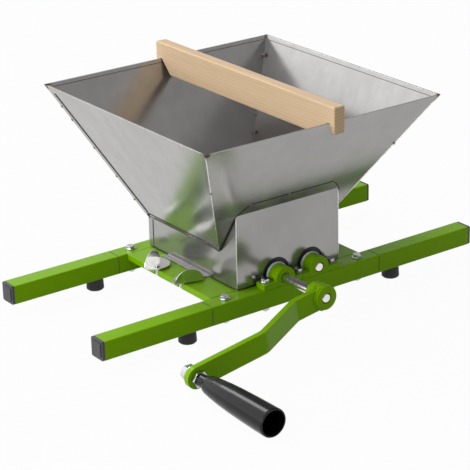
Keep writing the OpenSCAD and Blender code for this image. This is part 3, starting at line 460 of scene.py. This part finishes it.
NODE_LOOKS = {
    **{name: CLIP_STEEL for name in CLIPS},
    "shaft_seals": moulded("seal_rubber", (0.003, 0.003, 0.005), (0.006, 0.006, 0.010),
                           0.4, 0.55, 1100.0, 0.00002, 0.0006),
    # The front sheet's steel is painted darker than the other sheets': painted shade, for the dimmer
    # floor its face reflects close under the hopper
    "hopper_front": sheet_steel("stainless_front_shaded", GRAIN_X, FRONT_BURNS,
                                (0.365, 0.355, 0.347), (0.320, 0.311, 0.303)),
    "hopper_rear": sheet_steel("stainless_rear", GRAIN_X, REAR_BURNS),
    "hopper_left": sheet_steel("stainless_left", GRAIN_Y, LEFT_BURNS),
    "hopper_right": sheet_steel("stainless_right", GRAIN_Y, RIGHT_BURNS),
}


def look_of(node):
    return NODE_LOOKS.get(node, LOOKS[SLOTS[node]])


# Mesh helpers

def copied(node):
    """A bmesh of a node's solid."""
    bm = bmesh.new()
    bm.from_mesh(NODES[node].data)
    return bm


def merged(node):
    """A bmesh of a node's solid, with its doubled vertices merged."""
    bm = copied(node)
    bmesh.ops.remove_doubles(bm, verts=bm.verts, dist=1e-6)
    return bm


def piece(name, bm, look, body, replaced=(), smooth_below=35.0):
    """A piece of the scene that rides on a body, shaded smooth over edges below an angle."""
    bmesh.ops.recalc_face_normals(bm, faces=bm.faces)
    mesh = bpy.data.meshes.new(name)
    bm.to_mesh(mesh)
    bm.free()
    mesh.polygons.foreach_set("use_smooth", [True] * len(mesh.polygons))
    mesh.set_sharp_from_angle(angle=math.radians(smooth_below))
    mesh.materials.append(look)
    made = bpy.data.objects.new(name, mesh)
    bpy.context.scene.collection.objects.link(made)
    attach(made, body)
    if replaced:
        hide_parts(*replaced)
    return made


def turns(sides):
    return [math.tau * k / sides for k in range(sides)]


def circle(bm, centre, across, other, radius, sides):
    return [bm.verts.new(centre + radius * (across * math.cos(turn) + other * math.sin(turn)))
            for turn in turns(sides)]


def bridge(bm, rings):
    """Faces between each ring of vertices and the next."""
    sides = len(rings[0])
    for one, two in zip(rings, rings[1:]):
        for k in range(sides):
            bm.faces.new((one[k], one[(k + 1) % sides], two[(k + 1) % sides], two[k]))


def capped(bm, rings):
    bridge(bm, rings)
    bm.faces.new(rings[0])
    bm.faces.new(rings[-1])


def bead(bm, path, radius, ripple=0.0, sides=8):
    """A closed round cord of metal along a path, thinner at both ends."""
    rings = []
    across = None
    last = len(path) - 1
    for i, point in enumerate(path):
        ahead = (path[min(i + 1, last)] - path[max(i - 1, 0)]).normalized()
        across = ahead.orthogonal() if across is None else across - ahead * across.dot(ahead)
        across = across.normalized()
        size = radius * (0.35 if i in (0, last) else 1.0 + ripple * math.sin(2.1 * i))
        rings.append(circle(bm, point, across, ahead.cross(across), size, sides))
    capped(bm, rings)


def stepped(points, step):
    """The points of a broken line, with more between them, at most a step apart."""
    path = [points[0]]
    for one, two in zip(points, points[1:]):
        count = max(1, math.ceil((two - one).length / step))
        path += [one.lerp(two, (k + 1) / count) for k in range(count)]
    return path


def line(bm, points, radius, step=0.004, ripple=0.0):
    """A bead along a broken line."""
    bead(bm, stepped(points, step), radius, ripple)


def blob(bm, point, normal, radius, height, sides=14):
    """A flattened drop of weld metal, its foot just under the sheet."""
    normal = Vector(normal).normalized()
    across = normal.orthogonal().normalized()
    other = normal.cross(across)
    capped(bm, [circle(bm, point + normal * (rise * height), across, other, radius * reach, sides)
                for reach, rise in ((1.0, -0.4), (1.0, 0.1), (0.82, 0.62), (0.45, 0.94))])


def lathed(bm, profile, x, z, sides=72):
    """A closed ring turned about a line along Y through x and z, from its (y, radius) outline."""
    rings = [[bm.verts.new(at(x + radius * math.cos(turn), y, z + radius * math.sin(turn)))
              for turn in turns(sides)] for y, radius in profile]
    bridge(bm, rings + rings[:1])


# Pieces made in mesh code

def hopper_seams():
    """Dark cords in the joints between the hopper's sheets, painted shade for the shaded gaps there:
    the front seam, then on each side the wing's edge, the side seam, the low bend and the laps at
    both corners, then the hem."""
    bm = bmesh.new()
    seam_y, bend_y = -front_at(FRONT_SEAM_Z), -front_at(FRONT_BEND_Z)
    line(bm, [at(-WING_X, bend_y, FRONT_BEND_Z), at(-FRONT_SEAM_X, seam_y, FRONT_SEAM_Z),
              at(FRONT_SEAM_X, seam_y, FRONT_SEAM_Z), at(WING_X, bend_y, FRONT_BEND_Z)], SEAM_R)
    foot_z, bend_z = LOW_BEND_Z - 0.0005, LOW_BEND_Z + 0.0006
    lap_ends = (LOW_BEND_Z + LAP, RIM_Z - HEM)
    for x_side in (-1, 1):
        line(bm, [at(x_side * WING_X, bend_y, FRONT_BEND_Z),
                  at(x_side * WING_X, -front_at(WING_TIP_Z), WING_TIP_Z)], WING_SEAM_R)
        line(bm, [on_side(x_side, rear_at(SIDE_SEAM_Z) - 0.001, SIDE_SEAM_Z),
                  on_side(x_side, -SIDE_SEAM_Y, SIDE_SEAM_Z),
                  on_side(x_side, -0.061, foot_z)], SEAM_R)
        line(bm, [on_side(x_side, rear_at(bend_z) - 0.012, bend_z),
                  on_side(x_side, -SIDE_SEAM_Y - 0.004, bend_z)], BEND_R)
        line(bm, [on_side(x_side, LAP - front_at(z), z) for z in lap_ends], FRONT_LAP_R)
        line(bm, [on_side(x_side, rear_at(z) - LAP, z) for z in lap_ends], SEAM_R)
    z = RIM_Z - HEM / 2
    x, y_low, y_high = side_at(z) - HEM_IN, HEM_IN - front_at(z), rear_at(z) - HEM_IN
    corners = [at(-x, y_low, z), at(x, y_low, z), at(x, y_high, z), at(-x, y_high, z)]
    for one, two in zip(corners, corners[1:] + corners[:1]):
        line(bm, [one.lerp(two, 0.01), two.lerp(one, 0.01)], HEM_R, 0.006)
    piece("hopper_seams", bm, painted_gap_shade(), "frame")


def corner_welds_and_highlights():
    """Bright cords along the hopper's four corners and the throat's front corners: ground welds, made
    lighter than the sheets as a painted highlight along the corner edges.
    """
    bm = bmesh.new()
    ends = (LOW_BEND_Z + 0.004, RIM_Z - 0.004)
    for x_side in (-1, 1):
        line(bm, [on_side(x_side, -front_at(z), z, WELD_OUT) for z in ends], 0.0007, 0.003, 0.12)
        line(bm, [on_side(x_side, rear_at(z), z, WELD_OUT) for z in ends], 0.0006, 0.003, 0.12)
    for x_side in (-1, 1):
        line(bm, [at(x_side * (HALF_THROAT_W + 0.0011), -HALF_THROAT_D, z)
                  for z in (RAIL_TOP + 0.004, FRONT_BEND_Z - 0.002)], 0.0006, ripple=0.08)
    piece("corner_welds_and_highlights", bm, WELD_AND_HIGHLIGHT_STEEL, "frame")


def throat_slit_shade():
    """Dark strips in the slit between the throat sheets and the rails: painted shade standing for the
    slit's darkness, in the seals' black rubber. The photograph shows the slit dark, and not what is
    in it."""
    bm = bmesh.new()
    z = RAIL_TOP + STRIP_R
    x, y = HALF_THROAT_W, HALF_THROAT_D - STRIP_R
    for side in (-1, 1):
        line(bm, [at(-x, side * y, z), at(x, side * y, z)], STRIP_R, 0.02)
        line(bm, [at(side * x, -y, z), at(side * x, -FLANGE_END_Y, z)], STRIP_R, 0.02)
        line(bm, [at(side * x, FLANGE_REAR_Y, z), at(side * x, y, z)], STRIP_R, 0.02)
    piece("throat_slit_shade", bm, NODE_LOOKS["shaft_seals"], "frame")


def tube_joints():
    """Dark cords where a leg tube meets the end of its rail: painted shade of the gaps there."""
    bm = bmesh.new()
    half = TUBE / 2 - 0.0002
    outline = ((-0.8, -1), (0.8, -1), (1, -0.8), (1, 0.8), (0.8, 1), (-0.8, 1),
               (-1, 0.8), (-1, -0.8), (-0.8, -1))
    for x_side in (-1, 1):
        for y_side in (-1, 1):
            line(bm, [at(x_side * JOINT_X, y_side * RAIL_Y + half * y,
                         RAIL_TOP - TUBE / 2 + half * z) for y, z in outline], TUBE_JOINT_R)
    piece("tube_joints", bm, painted_gap_shade(), "frame")


def trimmed_sides():
    """Copies of the side sheets with the narrow foot flange of the photograph."""
    for node in ("hopper_left", "hopper_right"):
        bm = merged(node)
        for vert in bm.verts:
            if vert.co.z > FLANGE_TOP:
                continue
            reach = abs(vert.co.x) - HALF_THROAT_W
            if reach > 0.0002:
                vert.co.x = math.copysign(HALF_THROAT_W + reach * FLANGE_SHARE, vert.co.x)
            if vert.co.y < MIDDLE_Y - 0.05:
                vert.co.y = MIDDLE_Y - FLANGE_END_Y
        piece(node + "_trimmed", bm, NODE_LOOKS[node], "frame", [node],
              smooth_below=0.5)


def weld_tacks():
    """Small drops of weld metal along the hopper's edges and seams."""
    bm = bmesh.new()
    for x_side, y_side, z in CORNER_TACKS:
        y = -front_at(z) if y_side < 0 else rear_at(z)
        blob(bm, on_side(x_side, y, z, 0.0008), (x_side, y_side * 0.5, -0.4), *DROP)
    for x, z in SEAM_TACKS:
        blob(bm, at(x, -front_at(z), z), (0.0, -1.0, -FRONT_SLOPE), *SEAM_DROP)
    for y, z in SIDE_TACKS:
        for x_side in (-1, 1):
            blob(bm, on_side(x_side, y, z), (x_side, 0.0, -SIDE_SLOPE), *SEAM_DROP)
    for z in INNER_TACKS:
        for x_side in (-1, 1):
            for y_side, y in ((-1, -front_at(z)), (1, rear_at(z))):
                blob(bm, on_side(x_side, y - y_side * INNER_GAP, z, -INNER_GAP),
                     (-x_side, -y_side, 0.6), *INNER_DROP)
    piece("weld_tacks", bm, weld_metal(), "frame")


def welded_hub():
    """Crank hub, shorter than its solid as in the photograph, welded to the arm, and its
    grub screw moved along with it."""
    bm = bmesh.new()
    corner = HUB_EDGE * 0.3
    floor_y = HUB_FRONT_Y + HUB_SINK_DEPTH
    lathed(bm, [(HUB_FRONT_Y, HUB_SINK_R[0]), (HUB_FRONT_Y, HUB_R - HUB_EDGE),
                (HUB_FRONT_Y + corner, HUB_R - corner), (HUB_FRONT_Y + HUB_EDGE, HUB_R),
                (HUB_BACK_Y - HUB_EDGE, HUB_R), (HUB_BACK_Y - corner, HUB_R - corner),
                (HUB_BACK_Y, HUB_R - HUB_EDGE), (HUB_BACK_Y, HUB_BORE_R),
                (floor_y, HUB_BORE_R), (floor_y, HUB_SINK_R[1])], DRIVE_X, SHAFT_Z)
    toward = math.atan2(ARM_TOWARD[1], ARM_TOWARD[0])
    steps = round(2 * HUB_WELD_SPREAD / HUB_WELD_STEP) + 1
    for y in HUB_WELD_YS:
        bead(bm, [at(DRIVE_X + HUB_WELD_RING * math.cos(turn), y,
                     SHAFT_Z + HUB_WELD_RING * math.sin(turn))
                  for turn in (toward + math.radians(-HUB_WELD_SPREAD + HUB_WELD_STEP * k)
                               for k in range(steps))], HUB_WELD_R, 0.10)
    piece("crank_hub_welded", bm, LOOKS["green_paint"], "drive_train",
          ["crank_hub"])
    bm = copied("crank_grub")
    bmesh.ops.translate(bm, vec=GRUB_SHIFT, verts=bm.verts)
    piece("crank_grub_screw", bm, LOOKS["black_steel"], "drive_train",
          ["crank_grub"])


def rounded_nodes():
    """Copies of the solids with their long outer edges rounded, as rolled tube, castings and
    planed wood have."""
    for node, radius, shortest in ROUNDED:
        bm = merged(node)
        bmesh.ops.dissolve_limit(bm, angle_limit=math.radians(0.5), verts=bm.verts,
                                 edges=bm.edges)
        edges = [edge for edge in bm.edges if len(edge.link_faces) == 2 and edge.is_convex
                 and edge.calc_face_angle() > 0.7 and edge.calc_length() > shortest]
        bmesh.ops.bevel(bm, geom=edges, offset=radius, segments=4, profile=0.5,
                        affect="EDGES", clamp_overlap=True)
        made = piece(node + "_rounded", bm, look_of(node), BODIES[node], [node])
        made.modifiers.new("even_normals", "WEIGHTED_NORMAL").keep_sharp = True


def dress_nodes():
    for node in SLOTS:
        mesh = NODES[node].data
        mesh.materials.clear()
        mesh.materials.append(look_of(node))


# Stage, light and camera

def stage():
    r = FLOOR_REACH
    mesh = bpy.data.meshes.new("floor")
    mesh.from_pydata([(-r, -r, 0), (r, -r, 0), (r, r, 0), (-r, r, 0)], [], [(0, 1, 2, 3)])
    mesh.materials.append(pale_floor())
    floor = bpy.data.objects.new("floor", mesh)
    bpy.context.scene.collection.objects.link(floor)


def world():
    """A dim room with the soft bright regions of a studio."""
    made = bpy.data.worlds.new("studio")
    made.use_nodes = True
    nodes, links = made.node_tree.nodes, made.node_tree.links
    place = nodes.new("ShaderNodeTexCoord").outputs["Generated"]
    total = None
    for direction, start, end, strength in GLOWS:
        facing = nodes.new("ShaderNodeVectorMath")
        facing.operation = "DOT_PRODUCT"
        facing.inputs[1].default_value = direction
        links.new(place, facing.inputs[0])
        fade = nodes.new("ShaderNodeMapRange")
        fade.interpolation_type = "SMOOTHSTEP"
        low = DIM if total is None else 0.0
        for key, value in (("From Min", start), ("From Max", end),
                           ("To Min", low), ("To Max", low + strength)):
            fade.inputs[key].default_value = value
        links.new(facing.outputs["Value"], fade.inputs["Value"])
        if total is None:
            total = fade.outputs[0]
        else:
            both = nodes.new("ShaderNodeMath")
            links.new(total, both.inputs[0])
            links.new(fade.outputs[0], both.inputs[1])
            total = both.outputs[0]
    background = nodes["Background"]
    background.inputs["Color"].default_value = (1.0, 1.0, 1.0, 1.0)
    links.new(total, background.inputs["Strength"])
    bpy.context.scene.world = made


def lights():
    for name, place, width, height, power in LAMPS:
        data = bpy.data.lights.new(name, "AREA")
        data.shape = "RECTANGLE"
        data.size, data.size_y, data.energy = width, height, power
        made = bpy.data.objects.new(name, data)
        made.location = place
        aim = Vector(LAMP_AIM) - Vector(place)
        made.rotation_euler = aim.to_track_quat("-Z", "Y").to_euler()
        made.visible_camera = False
        bpy.context.scene.collection.objects.link(made)


def camera():
    back = Vector((math.sin(AZIMUTH) * math.cos(ELEVATION),
                   -math.cos(AZIMUTH) * math.cos(ELEVATION),
                   math.sin(ELEVATION)))
    level = Vector((0.0, 0.0, 1.0)).cross(back).normalized()
    upright = back.cross(level)
    right = level * math.cos(ROLL) + upright * math.sin(ROLL)
    up = upright * math.cos(ROLL) - level * math.sin(ROLL)
    data = bpy.data.cameras.new("photo_camera")
    data.sensor_width = SENSOR
    data.sensor_fit = "HORIZONTAL"
    data.lens = LENS
    made = bpy.data.objects.new("photo_camera", data)
    turn = Matrix((right, up, back)).transposed().to_4x4()
    made.matrix_world = Matrix.Translation(TARGET + back * DISTANCE) @ turn
    bpy.context.scene.collection.objects.link(made)
    bpy.context.scene.camera = made


dress_nodes()
hopper_seams()
corner_welds_and_highlights()
throat_slit_shade()
tube_joints()
trimmed_sides()
weld_tacks()
welded_hub()
rounded_nodes()
stage()
world()
lights()
camera()
bpy.context.scene.view_settings.view_transform = "Standard"

bpy.context.view_layer.update()
